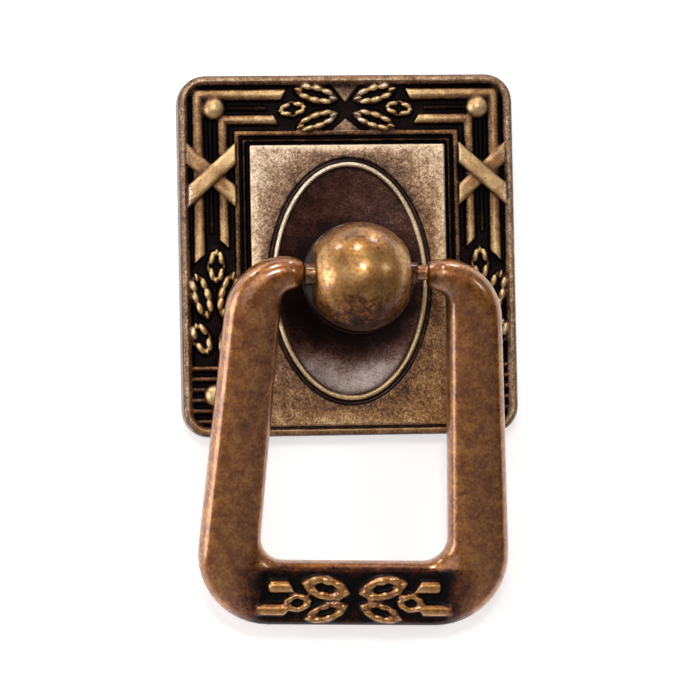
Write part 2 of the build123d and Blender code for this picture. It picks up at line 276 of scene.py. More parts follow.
def rampOf(values, zeroAt, oneAt):
    return np.clip((values - zeroAt) / (oneAt - zeroAt), 0, 1)


def keepAttribute(piece, name, values):
    layer = piece.data.attributes.new(name, "FLOAT", "POINT")
    layer.data.foreach_set("value", np.ascontiguousarray(values, dtype=np.float32))


def thinTo(piece, triangles):
    count = sum(len(face.vertices) - 2 for face in piece.data.polygons)
    if count > triangles:
        finishWith(piece, "DECIMATE", ratio=triangles / count)


def toMetres(piece, nodeName, body):
    piece.data.transform(Matrix.Diagonal((millimetre, millimetre, millimetre, 1)))
    faceOutward(piece)
    bpy.ops.object.shade_smooth()
    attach(piece, body)
    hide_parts(nodeName)


# Backplate

plateSizes = {
    "width": 42.0, "height": 44.9, "top": 25.8, "corner": 3.4,
    "rimLevel": 3.0, "rimRound": 0.6, "rimFlat": 0.12, "rimSlope": 0.5, "rimStep": 0.45,
    "ground": 2.05, "groundSlope": 0.12, "hollowWall": 2.4, "hollowDepth": 0.9,
    "bossRadius": 5.6, "bossLevel": 1.2, "holeRadius": 3.1, "holeFlat": 2.6,
    "fieldHalfWidth": 12.25, "fieldTop": 17.05, "fieldBottom": -17.95,
    "fieldFoot": 1.2, "fieldLevel": 3.5, "fieldBevel": 0.16,
    "ovalHalfWidth": 9.43, "ovalHalfHeight": 14.55, "wireRadius": 0.33, "wireLevel": 3.5,
    "grooveSpread": 0.62, "grooveRadius": 0.3,
    "dishDepth": 1.75, "dishSpread": 1.16, "dishRimDrop": 0.15,
    "mouldingFoot": 1.5, "reedLevel": 2.2, "reedSpare": (1.0, 1.5), "reedSlopes": (0.5, 0.9),
    "beadLevel": 2.3, "beadRadius": 1.48, "filletHeight": 0.32,
    "webHalfWidth": 2.1, "webHeight": 0.35, "webThickness": 1.5,
    "leafRing": (0.2, 0.55), "leafMargin": (0.1, 0.12), "leafHeight": 1.05,
    "voxel": 0.125, "triangles": 195000,
}
plateReeds = [  # inset, radius, x of the top tip, z of the side tip, slant
    (2.4, 0.8, -7.85, 3.05, 1),
    (5.5, 0.68, -8.85, 4.8, -1),
]
plateFillets = [(-17.1, -9.9, 21.5, 21.95), (-17.25, -16.8, 6.2, 21.9)]  # left, right, bottom, top
plateBands = [(6.9, 0.62, 0.55), (7.95, 0.34, 0.42)]  # inset, width, height
plateWebs = [(25.0, 22.4), (18.7, 20.4)]  # z of the wide side and of the tip
beadSpots = [(-16.6, 21.7), (-17.0, -14.0)]
ribbonSizes = {
    "x": -17.0, "z": 13.4, "reach": 2.95, "width": 2.05, "slope": 41.7,
    "foot": 0.8, "level": 3.55, "under": 0.4, "bevel": 0.4,
}
fluteSizes = {
    "count": 6, "first": -10.6, "pitch": 1.32, "radius": 0.34, "left": -20.0, "right": -14.6, "level": 2.3,
}
plateLeaves = [  # x, z, length, width, turn, lobes on each side
    (-16.6, 2.1, 4.3, 2.1, 88, 2),
    (-18.5, -1.6, 6.0, 2.5, 105, 3),
    (-15.2, -1.4, 5.9, 2.4, 74, 3),
    (-18.6, -6.9, 4.3, 2.3, 112, 2),
    (-15.2, -6.9, 4.3, 2.3, 68, 2),
    (-6.7, 21.6, 3.6, 1.8, 8, 2),
    (-3.7, 23.45, 5.6, 2.3, -14, 3),
    (-3.6, 20.15, 5.6, 2.1, 19, 3),
]
largeFace = 500  # square millimetres: only the slab's front and back are larger


def insetFront(piece, level, thickness, drop):
    # one step of the front: the large face at this level is inset and sunk
    pickParts(piece, "FACE", lambda face: face.area > largeFace and abs(face.center.y + level) < 0.01)
    bpy.ops.mesh.inset(thickness=thickness)
    bpy.ops.transform.translate(value=(0, drop, 0))
    leaveEdit()


def makeSlab(sizes):
    halfWidth = sizes["width"] / 2
    bottom = sizes["top"] - sizes["height"]
    slab = addBlock(-halfWidth, halfWidth, bottom, sizes["top"], 0, sizes["rimLevel"])
    vertices = slab.data.vertices

    def isCorner(edge):
        first, second = (vertices[i].co for i in edge.vertices)
        return abs(first.y - second.y) > 1

    pickParts(slab, "EDGE", isCorner)
    bpy.ops.mesh.bevel(offset=sizes["corner"], segments=9)
    leaveEdit()
    vertices = slab.data.vertices

    def isFrontEdge(edge):
        return all(abs(vertices[i].co.y + sizes["rimLevel"]) < 0.01 for i in edge.vertices)

    pickParts(slab, "EDGE", isFrontEdge)
    bpy.ops.mesh.bevel(offset=sizes["rimRound"], segments=4)
    leaveEdit()
    rimTop = sizes["rimLevel"]
    insetFront(slab, rimTop, sizes["rimFlat"], 0)
    insetFront(slab, rimTop, sizes["rimSlope"], sizes["rimStep"])
    stepLevel = rimTop - sizes["rimStep"]
    insetFront(slab, stepLevel, sizes["groundSlope"], stepLevel - sizes["ground"])
    # the shallow hollow in the back
    pickParts(slab, "FACE", lambda face: face.area > largeFace and abs(face.center.y) < 0.01)
    bpy.ops.mesh.inset(thickness=sizes["hollowWall"])
    bpy.ops.transform.translate(value=(0, -sizes["hollowDepth"], 0))
    leaveEdit()
    return slab


def makeOvalRing(sizes, spread, level, radius):
    bpy.ops.curve.primitive_bezier_circle_add(radius=1, location=(0, -level, 0))
    wire = bpy.context.object
    wire.rotation_euler = (math.radians(90), 0, 0)
    wire.scale = (sizes["ovalHalfWidth"] + spread, sizes["ovalHalfHeight"] + spread, 1)
    applyPlace(wire)
    for point in wire.data.splines[0].bezier_points:
        point.radius = 1
    wire.data.resolution_u = 24
    wire.data.bevel_depth = radius
    wire.data.bevel_resolution = 3
    bpy.ops.object.convert(target="MESH")
    return bpy.context.object


def makeReeds(sizes):
    # two reeds that turn round the corner and end in slanted tips before the leaves
    level = sizes["reedLevel"]
    topSpare, sideSpare = sizes["reedSpare"]
    topSlope, sideSlope = sizes["reedSlopes"]
    reeds = []
    for inset, radius, topEnd, sideEnd, slant in plateReeds:
        x, z = -sizes["width"] / 2 + inset, sizes["top"] - inset
        across = addRod((x, -level, z), (topEnd + topSpare, -level, z), radius)
        cutAway(across, (topEnd, 0, z), (1, 0, -topSlope * slant))
        upright = addRod((x, -level, z), (x, -level, sideEnd - sideSpare), radius)
        cutAway(upright, (x, 0, sideEnd), (sideSlope * slant, 0, -1))
        reeds += [across, upright, addBall((x, -level, z), (radius, radius, radius))]
    return reeds


def makeRibbon(sizes, slope, level):
    # made longer than it shows, turned and then cut off upright on both sides
    halfLength, halfWidth = 1.8 * sizes["reach"], sizes["width"] / 2
    ribbon = addBlock(-halfLength, halfLength, -halfWidth, halfWidth, sizes["foot"], level)
    finishWith(ribbon, "BEVEL", width=sizes["bevel"], segments=2, limit_method="ANGLE")
    turn = Matrix.Translation((sizes["x"], 0, sizes["z"])) @ Matrix.Rotation(math.radians(-slope), 4, "Y")
    ribbon.data.transform(turn)
    for side in (-1, 1):
        cutAway(ribbon, (sizes["x"] + side * sizes["reach"], 0, 0), (side, 0, 0))
    return ribbon


def makePlateOrnament(sizes):
    # everything on the left half of the border
    ground = sizes["ground"]
    slope, ribbonLevel = ribbonSizes["slope"], ribbonSizes["level"]
    parts = makeReeds(sizes)
    parts.append(makeRibbon(ribbonSizes, slope, ribbonLevel))
    parts.append(makeRibbon(ribbonSizes, -slope, ribbonLevel - ribbonSizes["under"]))
    radius = sizes["beadRadius"]
    for x, z in beadSpots:
        parts.append(addBall((x, -sizes["beadLevel"], z), (radius, radius, radius)))
    left, right, level = (fluteSizes[name] for name in ("left", "right", "level"))
    for count in range(fluteSizes["count"]):
        z = fluteSizes["first"] - count * fluteSizes["pitch"]
        parts.append(addRod((left, -level, z), (right, -level, z), fluteSizes["radius"], 14))
    parts += addLeaves(plateLeaves, sizes, lambda x, z, turn: plateSpot(x, z, ground, turn))
    # the thin fillet between the reeds
    foot, level = sizes["mouldingFoot"], ground + sizes["filletHeight"]
    parts += [addBlock(left, right, bottom, top, foot, level) for left, right, bottom, top in plateFillets]
    return joinAs("ornament", parts)


def makeField(sizes):
    halfWidth, foot, level = (sizes[name] for name in ("fieldHalfWidth", "fieldFoot", "fieldLevel"))
    field = addBlock(-halfWidth, halfWidth, sizes["fieldBottom"], sizes["fieldTop"], foot, level)
    finishWith(field, "BEVEL", width=sizes["fieldBevel"], segments=2, limit_method="ANGLE")
    groove = makeOvalRing(sizes, sizes["grooveSpread"], level, sizes["grooveRadius"])
    cutOut(field, groove)
    removePieces(groove)
    return field


def makeDish(sizes):
    # the oval's dished floor: part of an ellipsoid that meets the oval a little below the wire's middle
    spread = sizes["dishSpread"]
    fall = 1 - math.sqrt(1 - 1 / spread**2)
    depth = sizes["dishDepth"] / fall
    centre = sizes["wireLevel"] - sizes["dishRimDrop"] + depth * (1 - fall)
    radii = (sizes["ovalHalfWidth"] * spread, depth, sizes["ovalHalfHeight"] * spread)
    return addBall((0, -centre, 0), radii, 96)


def makeHole(sizes):
    # the fixing hole with its two flats, from behind the plate to past its front
    hole = addRod((0, 1, 0), (0, -5, 0), sizes["holeRadius"], 48)
    for side in (-1, 1):
        cutAway(hole, (side * sizes["holeFlat"], 0, 0), (side, 0, 0))
    return hole


def makeBands(sizes):
    # band and ridge round the field's sides and top
    foot, bottom = sizes["mouldingFoot"], sizes["fieldBottom"]
    bands = []
    for inset, width, height in plateBands:
        farX, farZ, level = sizes["width"] / 2 - inset, sizes["top"] - inset, sizes["ground"] + height
        bands += [
            addBlock(-farX, width - farX, bottom, farZ, foot, level),
            addBlock(farX - width, farX, bottom, farZ, foot, level),
            addBlock(-farX, farX, farZ - width, farZ, foot, level),
        ]
    return bands


def makeWebs(sizes):
    # plain three-sided webs between the two leaf clusters at the top
    halfSide, rise = 0.866, 1.5  # of a three-sided cylinder of radius 1
    middle = sizes["webThickness"] / 2 - sizes["ground"] - sizes["webHeight"]
    webs = []
    for wideEnd, tip in plateWebs:
        bpy.ops.mesh.primitive_cylinder_add(
            vertices=3, radius=1, depth=sizes["webThickness"], location=(0, middle, (wideEnd * 2 + tip) / 3),
        )
        web = bpy.context.object
        web.rotation_euler = (math.radians(90), 0, 0)
        web.scale = (sizes["webHalfWidth"] / halfSide, (tip - wideEnd) / rise, 1)
        faceOutward(applyPlace(web))
        webs.append(web)
    return webs


plateWearAndPaintedLight = {  # a pair says where a mask is 0 and where it is 1
    "dishInset": 0.3, "dishEdge": (1, 8 / 9), "dishLevel": 1.0,
    "shadowMiddle": -1.2, "shadowReach": (10.2, 7.0), "dishFlatness": 0.85, "wideShare": 0.3,
    "ovalShade": 0.16, "ovalShadeReach": (1.35, 1.05), "ovalShadeLevel": 3.0,
    "edgeShade": 0.12, "edgeShadeReach": (1.6, 0), "wireRub": 0.42, "wireLevel": 3.6,
    "rimWidth": 1.4, "crestRubAndPaintedHighlight": 0.1, "crestRise": (0.7, 1.0),
    "lobeRubAndPaintedHighlight": 0.34, "lobeRise": (0.68, 0.9), "leafMargin": 0.2,
    "groundRise": (0.72, 0.32), "groundLeast": -0.4, "groundInset": 1.2,
    "webHalfWidth": 2.3, "webBottom": 18.2, "webRise": 0.15,
    "paintedLightSlope": 0.7, "paintedLightReach": (-17, 17), "paleRim": 0.7,
}


def keepPlateWearAndPaintedLight(plate, relief, sizes, toneMarks):
    # masks of what is rubbed, what keeps its dark patina and what is dished, and of painted light and shade
    spots, (narrow, wide) = relief.heights(plate)
    x, z, level = spots.T
    across, rise = np.abs(x), level - sizes["ground"]
    oval = (x / (sizes["ovalHalfWidth"] - toneMarks["dishInset"])) ** 2
    oval += (z / (sizes["ovalHalfHeight"] - toneMarks["dishInset"])) ** 2
    inDish = rampOf(oval, *toneMarks["dishEdge"]) * (level > toneMarks["dishLevel"])
    keepAttribute(plate, "dish", inDish)
    # painted shadow in the dish round the ball's foot
    fromFoot = np.hypot(x, z - toneMarks["shadowMiddle"])
    keepAttribute(plate, "paintedShadow", inDish * rampOf(fromFoot, *toneMarks["shadowReach"]))
    fromFieldEdge = np.minimum(sizes["fieldHalfWidth"] - across, sizes["fieldTop"] - z)
    inField = fromFieldEdge > 0
    fromSide = np.minimum(sizes["width"] / 2 - across, sizes["top"] - z)
    tone = (narrow + toneMarks["wideShare"] * wide * ~inField) * (1 - toneMarks["dishFlatness"] * inDish)
    # painted shade darkens the field along its edges and round the oval, and the wire is rubbed bright
    nearOval = rampOf(oval, *toneMarks["ovalShadeReach"]) * (level > toneMarks["ovalShadeLevel"])
    nearEdge = rampOf(fromFieldEdge, *toneMarks["edgeShadeReach"])
    tone -= inField * (1 - inDish) * (toneMarks["ovalShade"] * nearOval + toneMarks["edgeShade"] * nearEdge)
    tone += toneMarks["wireRub"] * (level > toneMarks["wireLevel"]) * inField
    # the crests of the mouldings are rubbed bright and carry a painted highlight, and the lobes of the leaves
    # most of all
    crest = (fromSide > toneMarks["rimWidth"]) * ~inField * rampOf(rise, *toneMarks["crestRise"])
    keepAttribute(plate, "crest", crest)
    tone += toneMarks["crestRubAndPaintedHighlight"] * crest
    lobe = rampOf(rise, *toneMarks["lobeRise"])
    for leafX, leafZ, length, width, turn, _ in plateLeaves:
        offX, offZ = -across - leafX, z - leafZ
        cosine, sine = math.cos(math.radians(turn)), math.sin(math.radians(turn))
        along = (offX * cosine + offZ * sine) / (length / 2 + toneMarks["leafMargin"])
        aside = (offZ * cosine - offX * sine) / (width / 2 + toneMarks["leafMargin"])
        tone += toneMarks["lobeRubAndPaintedHighlight"] * lobe * (along**2 + aside**2 < 1)
    # this tone is patina and rubbing, with painted shade round the oval and the field's edges and painted
    # highlight on the crests and lobes
    keepAttribute(plate, "relief", tone)
    # the ground between the mouldings lies low and keeps its dark patina, but the plain webs don't
    ground = rampOf(rise, *toneMarks["groundRise"]) * (rise > toneMarks["groundLeast"])
    web = (across < toneMarks["webHalfWidth"]) & (z > toneMarks["webBottom"]) & (rise > toneMarks["webRise"])
    keepAttribute(plate, "ground", ground * (1 - inDish) * (fromSide > toneMarks["groundInset"]) * ~web)
    # painted light: the field is paler towards its upper left; the rim and the webs are paler in colour too
    paleAndPaintedLight = inField * rampOf(z - x * toneMarks["paintedLightSlope"], *toneMarks["paintedLightReach"])
    paleAndPaintedLight = paleAndPaintedLight + (fromSide < toneMarks["rimWidth"]) * toneMarks["paleRim"] + web
    keepAttribute(plate, "paleAndPaintedLight", np.clip(paleAndPaintedLight, 0, 1))


def makeBackplate(sizes):
    slab, field = makeSlab(sizes), makeField(sizes)
    boss = addRod((0, 0, 0), (0, -sizes["bossLevel"], 0), sizes["bossRadius"], 64)
    dish, hole = makeDish(sizes), makeHole(sizes)
    for piece in (slab, field):
        cutOut(piece, dish)
    for piece in (slab, field, boss):
        cutOut(piece, hole)
    removePieces(dish, hole)
    wire = makeOvalRing(sizes, 0, sizes["wireLevel"], sizes["wireRadius"])
    ornament = makePlateOrnament(sizes)
    parts = [slab, field, boss, wire, *makeBands(sizes), *makeWebs(sizes)]
    parts += [ornament, copyOf(ornament, Matrix.Diagonal((-1, 1, 1, 1)))]
    plate = joinAs("backplateCasting", parts)
    finishWith(plate, "REMESH", mode="VOXEL", voxel_size=sizes["voxel"])
    finishWith(plate, "SMOOTH", factor=0.5, iterations=1)
    toFront = Matrix(((1, 0, 0, 0), (0, 0, 1, 0), (0, -1, 0, 0), (0, 0, 0, 1)))
    relief = ReliefMap(plate, toFront)
    thinTo(plate, sizes["triangles"])
    keepPlateWearAndPaintedLight(plate, relief, sizes, plateWearAndPaintedLight)
    toMetres(plate, "backplate", "plate")
    return plate


# Post with its ball head

postSizes = {
    "pivotDepth": 12.9, "pivotRise": 0.4, "ballRadius": 6.7, "ballFlat": 5.8, "ballBevel": 0.25,
    "collarRadius": 6.9, "collarFront": 1.9, "collarBack": 3.0, "collarBevel": 0.3,
    "stepRadius": 5.2, "stepFront": 2.5, "stepBack": 4.0, "neckRadius": 2.9, "neckFront": 3.5,
    "footRadius": 4.3, "footLevel": 1.6, "footTop": 3.5,
    "spigotRadius": 3.0, "spigotFlat": 2.5, "spigotLap": 0.5, "threadRadius": 1.65,
    "bossRadius": 1.3, "bossReach": 1.2, "bossRoot": 3.4, "bossBevel": 0.14,
    "pinHole": 0.97, "pinHoleDepth": 3.0, "bevelAngle": 25, "smoothAngle": 32,
}


def addDisc(frontY, backY, radius, bevel, sides=96):
    disc = addRod((0, backY, 0), (0, frontY, 0), radius, sides)
    if bevel:
        finishWith(disc, "BEVEL", width=bevel, segments=3, limit_method="ANGLE")
    return disc


def sinkHole(piece, test, rim, way):
    # a blind hole in one end face: inset to the hole's edge and pushed in
    pickParts(piece, "FACE", test)
    bpy.ops.mesh.inset(thickness=rim)
    bpy.ops.mesh.extrude_region_move(TRANSFORM_OT_translate={"value": way})
    leaveEdit()


def makeBall(sizes):
    depth = sizes["pivotDepth"]
    bpy.ops.mesh.primitive_uv_sphere_add(
        segments=144, ring_count=72, radius=sizes["ballRadius"], location=(0, -depth, 0),
        rotation=(0, math.radians(90), 0),
    )
    ball = applyPlace(bpy.context.object)
    for side in (-1, 1):
        cutAway(ball, (side * sizes["ballFlat"], 0, 0), (side, 0, 0))
    cutAway(ball, (0, -depth + sizes["collarFront"], 0), (0, 1, 0))
    sharp = {"limit_method": "ANGLE", "angle_limit": math.radians(sizes["bevelAngle"])}
    return finishWith(ball, "BEVEL", width=sizes["ballBevel"], segments=3, **sharp)


def makeSpigot(sizes):
    # the flat-sided end in the plate's hole, tapped for the fixing screw
    spigot = addDisc(-sizes["footLevel"] - sizes["spigotLap"], 0, sizes["spigotRadius"], 0, 64)
    for side in (-1, 1):
        cutAway(spigot, (side * sizes["spigotFlat"], 0, 0), (side, 0, 0))
    rim = sizes["spigotFlat"] - sizes["threadRadius"]
    sinkHole(spigot, lambda face: face.normal.y > 0.9, rim, (0, -sizes["footLevel"], 0))
    return spigot


def makePost(sizes):
    depth, footY, bevel = sizes["pivotDepth"], -sizes["footLevel"], sizes["collarBevel"]
    collarY, collarEnd, stepY, stepEnd, neckY = (
        sizes[name] - depth for name in ("collarFront", "collarBack", "stepFront", "stepBack", "neckFront")
    )
    parts = [
        makeBall(sizes),
        addDisc(collarY, collarEnd, sizes["collarRadius"], bevel),
        addDisc(stepY, stepEnd, sizes["stepRadius"], sizes["ballBevel"]),
        addDisc(neckY, footY, sizes["neckRadius"], 0, 64),
        addDisc(-sizes["footTop"], footY, sizes["footRadius"], bevel),
        makeSpigot(sizes),
    ]
    rim = sizes["bossRadius"] - sizes["bossBevel"] - sizes["pinHole"]
    for side in (-1, 1):
        start = (side * (sizes["ballFlat"] - sizes["bossRoot"]), -depth, sizes["pivotRise"])
        end = (side * (sizes["ballFlat"] + sizes["bossReach"]), -depth, sizes["pivotRise"])
        boss = addRod(start, end, sizes["bossRadius"], 48)
        finishWith(boss, "BEVEL", width=sizes["bossBevel"], segments=2, limit_method="ANGLE")
        sinkHole(
            boss, lambda face: face.normal.x * side > 0.9 and face.area > 2,
            rim, (-side * sizes["pinHoleDepth"], 0, 0),
        )
        parts.append(boss)
    post = joinAs("ballPost", parts)
    toMetres(post, "post", "plate")
    selectOnly(post)
    bpy.ops.object.shade_smooth_by_angle(angle=math.radians(sizes["smoothAngle"]))
    return post


# Bail

bailSizes = {
    "sideRest": 0.55, "cant": 1.5, "surfaceGap": 0.15, "endAllowance": 1.35,
    "armEnd": 7.76, "armReach": 1.25, "armWidth": 3.9, "armStepIn": 0.65, "armBevel": 0.3, "armDrop": 0.15,
    "taper": 0.3, "taperLength": 1.5, "taperRings": 12, "pinRadius": 0.9, "pinLength": 2.75,
    "legTopOuter": 16.7, "legTopInner": 10.15, "outerSpread": 3.4, "innerSpread": 1.7,
    "loopDrop": 36.2, "barHeight": 8.1, "halfLap": 0.4,
    "depth": 5.2, "squareness": 2.45, "sectionChange": 0.4,
    "elbowOuter": 7.6, "elbowInner": 1.5, "cornerOuter": 9.0, "cornerInner": 3.0,
    "recessHalfLength": 22.0, "recessTop": 3.45, "recessFloor": 1.75, "recessBevel": 0.8,
    "leafRing": (0.34, 0.85), "leafMargin": (0.18, 0.08), "leafHeight": 0.85, "leafFall": 0.12,
    "rodSpare": 0.8, "rodStart": 0.35, "rodSlope": 0.6, "rodEnd": (0.5, 0.55),
    "voxel": 0.15, "triangles": 190000,
}
barLeaves = [  # x and rise from the middle of the bar, length, width, turn, lobes on each side
    (3.6, 1.0, 6.2, 3.0, 12, 3),
    (7.1, -0.85, 3.5, 2.3, -8, 2),
    (3.4, -2.05, 5.6, 2.4, -18, 3),
]
barRods = [(7.5, 10.85, 1.15, 0.85, 1), (7.9, 12.5, -1.75, 0.82, -1)]  # start, end, rise, radius, slant


def barMiddleOf(sizes):
    return -sizes["loopDrop"] - sizes["barHeight"] / 2


def roundedRun(points, radii, steps=12, straightSteps=10):
    # points along straight runs, with a round turn at each corner
    run = []
    for before, corner, after, radius in zip(points, points[1:], points[2:], radii):
        corner = Vector(corner)
        arriving = (corner - Vector(before)).normalized()
        leaving = (Vector(after) - corner).normalized()
        turn = arriving.angle(leaving)
        side = 1 if arriving.cross(leaving) > 0 else -1
        reach = radius * math.tan(turn / 2)
        start = corner - arriving * reach
        centre = start + Vector((-arriving.y, arriving.x)) * radius * side
        last = run[-1] if run else Vector(points[0])
        run += [last.lerp(start, step / straightSteps) for step in range(1 if run else 0, straightSteps)]
        for step in range(steps + 1):
            spin = Matrix.Rotation(side * turn * step / steps, 2)
            run.append(centre + spin @ (start - centre))
    last = run[-1]
    run += [last.lerp(Vector(points[-1]), (step + 1) / straightSteps) for step in range(straightSteps)]
    return run


def makeLoopHalf(sizes):
    # the right arm, leg and half bar: rings set across the run from its outer to its inner outline
    foot, lap = -sizes["loopDrop"] - sizes["barHeight"], -sizes["halfLap"]
    armEnd, armRadius = sizes["armEnd"], sizes["armWidth"] / 2
    outer = roundedRun(
        [(armEnd, armRadius), (sizes["legTopOuter"], armRadius),
         (sizes["legTopOuter"] + sizes["outerSpread"], foot), (lap, foot)],
        (sizes["elbowOuter"], sizes["cornerOuter"]),
    )
    inner = roundedRun(
        [(armEnd, -armRadius), (sizes["legTopInner"], -armRadius - sizes["armDrop"]),
         (sizes["legTopInner"] + sizes["innerSpread"], -sizes["loopDrop"]), (lap, -sizes["loopDrop"])],
        (sizes["elbowInner"], sizes["cornerInner"]),
    )
    rings = []
    lastStep = len(outer) - 1
    for step, (far, near) in enumerate(zip(outer, inner)):
        # the arm is round, and the section grows deeper and squarer towards the leg
        share = min(1, step / (sizes["sectionChange"] * lastStep))
        share = share * share * (3 - 2 * share)
        halfDepth = armRadius + (sizes["depth"] / 2 - armRadius) * share
        square = 2.0 + (sizes["squareness"] - 2.0) * share
        bpy.ops.mesh.primitive_circle_add(vertices=40, radius=1)
        ring = bpy.context.object
        middle, reach = (far + near) / 2, (far - near) / 2
        if step < sizes["taperRings"]:
            fromEnd = max(0, 1 - (middle.x - armEnd) / sizes["taperLength"])
            taper = 1 - sizes["taper"] * fromEnd ** 2
            reach, halfDepth = reach * taper, halfDepth * taper
        for vertex in ring.data.vertices:
            across = math.copysign(abs(vertex.co.x) ** (2 / square), vertex.co.x)
            forward = math.copysign(abs(vertex.co.y) ** (2 / square), vertex.co.y)
            spot = middle + reach * across
            vertex.co = (spot.x, spot.y, halfDepth * forward)
        rings.append(ring)
    half = joinAs("loopHalf", rings)
    bpy.ops.object.mode_set(mode="EDIT")
    bpy.ops.mesh.select_mode(type="EDGE")
    bpy.ops.mesh.select_all(action="SELECT")
    bpy.ops.mesh.bridge_edge_loops()
    bpy.ops.mesh.select_all(action="DESELECT")
    bpy.ops.mesh.select_non_manifold()
    bpy.ops.mesh.edge_face_add()
    leaveEdit()
    faceOutward(half)
    return half


def makeRecessCutter(sizes):
    # the carved ground runs from below the upper lip out through the bar's lower edge, with soft ends
    top, bottom = barMiddleOf(sizes) + sizes["recessTop"], barMiddleOf(sizes) - sizes["barHeight"]
    middle, height = (top + bottom) / 2, 4
    bpy.ops.mesh.primitive_cube_add(
        size=1, location=(0, middle, sizes["recessFloor"] + height / 2),
        scale=(2 * sizes["recessHalfLength"], top - bottom, height),
    )
    cutter = applyPlace(bpy.context.object)
    pickParts(cutter, "FACE", lambda face: face.normal.z < -0.9)
    bpy.ops.transform.resize(value=(0.5, 1, 1), center_override=(0, middle, 0))
    leaveEdit()
    return finishWith(cutter, "BEVEL", width=sizes["recessBevel"], segments=5, limit_method="ANGLE")


def makeBarRelief(sizes):
    # the leaves and rods on the right half of the bar
    floor, barMiddle = sizes["recessFloor"], barMiddleOf(sizes)

    def barSpot(x, rise, turn):
        place = Matrix.Translation((x, barMiddle + rise, floor - sizes["leafFall"] * abs(rise)))
        return place @ Matrix.Rotation(math.radians(turn), 4, "Z")

    parts = addLeaves(barLeaves, sizes, barSpot)
    endStep, endLength = sizes["rodEnd"]
    for start, end, rise, radius, slant in barRods:
        y, end = barMiddle + rise, end - radius * endStep
        rod = addRod((start - sizes["rodSpare"], y, floor), (end, y, floor), radius)
        cutAway(rod, (start + sizes["rodStart"], y, floor), (-1, sizes["rodSlope"] * slant, 0))
        parts += [rod, addBall((end, y, floor), (radius * endLength, radius, radius), 20)]
    return joinAs("barRelief", parts)


bailWear = {  # a pair says where a mask is 0 and where it is 1
    "darkHalfLength": 12.0, "endFade": (3.6, -0.4), "frontLevel": 0.2, "lipFade": (0.25, 0.25 - 1 / 3),
    "wideShare": 0.3, "groundRise": 1.2, "groundRun": 3.0, "groundFade": (0.5, 0.15),
}


def keepBailWear(bail, relief, sizes, toneMarks):
    # masks of the carved ground, which keeps its dark patina, and of the relief on it
    spots, (narrow, wide) = relief.heights(bail)
    x, y, level = spots.T
    across = np.abs(x)
    inBar = rampOf(across - toneMarks["darkHalfLength"], *toneMarks["endFade"]) * (level > toneMarks["frontLevel"])
    inBar *= rampOf(y - barMiddleOf(sizes) - sizes["recessTop"], *toneMarks["lipFade"])
    keepAttribute(bail, "relief", (narrow + toneMarks["wideShare"] * wide) * inBar ** 2)
    flatEnd = sizes["recessHalfLength"] / 2
    rise = toneMarks["groundRise"] * rampOf(across, flatEnd, flatEnd + toneMarks["groundRun"])
    keepAttribute(bail, "recess", inBar * rampOf(level - sizes["recessFloor"] - rise, *toneMarks["groundFade"]))


def makeBail(sizes):
    half = makeLoopHalf(sizes)
    cutter = makeRecessCutter(sizes)
    cutOut(half, cutter)
    removePieces(cutter)
    relief = makeBarRelief(sizes)
    otherSide = Matrix.Diagonal((-1, 1, 1, 1))
    bail = joinAs("bailCasting", [half, relief, copyOf(half, otherSide), copyOf(relief, otherSide)])
    # the arms' turned ends and their pins stay square to the ball while the loop hangs askew
    cant = math.radians(sizes["cant"])
    bail.data.transform(Matrix.Rotation(-cant, 4, "Z"))
    parts = [bail]
    armRadius = sizes["armWidth"] / 2 - sizes["armStepIn"]
    for side in (-1, 1):
        armEnd = side * sizes["armEnd"]
        arm = addRod((armEnd, 0, 0), (armEnd + side * sizes["armReach"], 0, 0), armRadius, 40)
        finishWith(arm, "BEVEL", width=sizes["armBevel"], segments=3, limit_method="ANGLE")
        pinEnd = armEnd - side * sizes["pinLength"]
        pin = addRod((pinEnd, 0, 0), (armEnd + side, 0, 0), sizes["pinRadius"], 32)
        parts += [arm, pin]
    bail = joinAs("bailCasting", parts)
    finishWith(bail, "REMESH", mode="VOXEL", voxel_size=sizes["voxel"])
    finishWith(bail, "SMOOTH", factor=0.5, iterations=3)
    surface = ReliefMap(bail, Matrix.Rotation(cant, 4, "Z"))
    thinTo(bail, sizes["triangles"])
    keepBailWear(bail, surface, sizes, bailWear)
    bail.data.transform(bailPlace(sizes))
    toMetres(bail, "bail", "bail")
    return bail


def bailPlace(sizes):
    # the loop leans back until its bar rests on the surface behind the plate
    pivotDepth, pivotRise = postSizes["pivotDepth"], postSizes["pivotRise"]
    lean = 0.0
    for _ in range(8):
        reach = sizes["depth"] / 2 * math.cos(lean)
        reach += (sizes["barHeight"] / 2 - sizes["endAllowance"]) * math.sin(lean)
        lean = math.asin((pivotDepth - sizes["surfaceGap"] - reach) / -barMiddleOf(sizes))
    sine, cosine = math.sin(lean), math.cos(lean)
    return Matrix((
        (1, 0, 0, sizes["sideRest"]),
        (0, -sine, -cosine, -pivotDepth),
        (0, cosine, -sine, pivotRise),
        (0, 0, 0, 1),
    ))


# Materials

def addNode(tree, kind, **settings):
    node = tree.nodes.new(kind)
    for name, value in settings.items():
        setattr(node, name, value)
    return node


def addMath(tree, operation, *values, clamp=False):
    node = addNode(tree, "ShaderNodeMath", operation=operation, use_clamp=clamp)
    for socket, value in zip(node.inputs, values):
        if isinstance(value, (int, float)):
            socket.default_value = value
        else:
            tree.links.new(value, socket)
    return node.outputs[0]


def addSpread(tree, value, low, high, lowResult=0.0, highResult=1.0):
    # from the low result at the low value to the high result at the high one
    spread = addNode(tree, "ShaderNodeMapRange", clamp=True)
    tree.links.new(value, spread.inputs["Value"])
    for name, limit in (("From Min", low), ("From Max", high), ("To Min", lowResult), ("To Max", highResult)):
        spread.inputs[name].default_value = limit
    return spread.outputs["Result"]


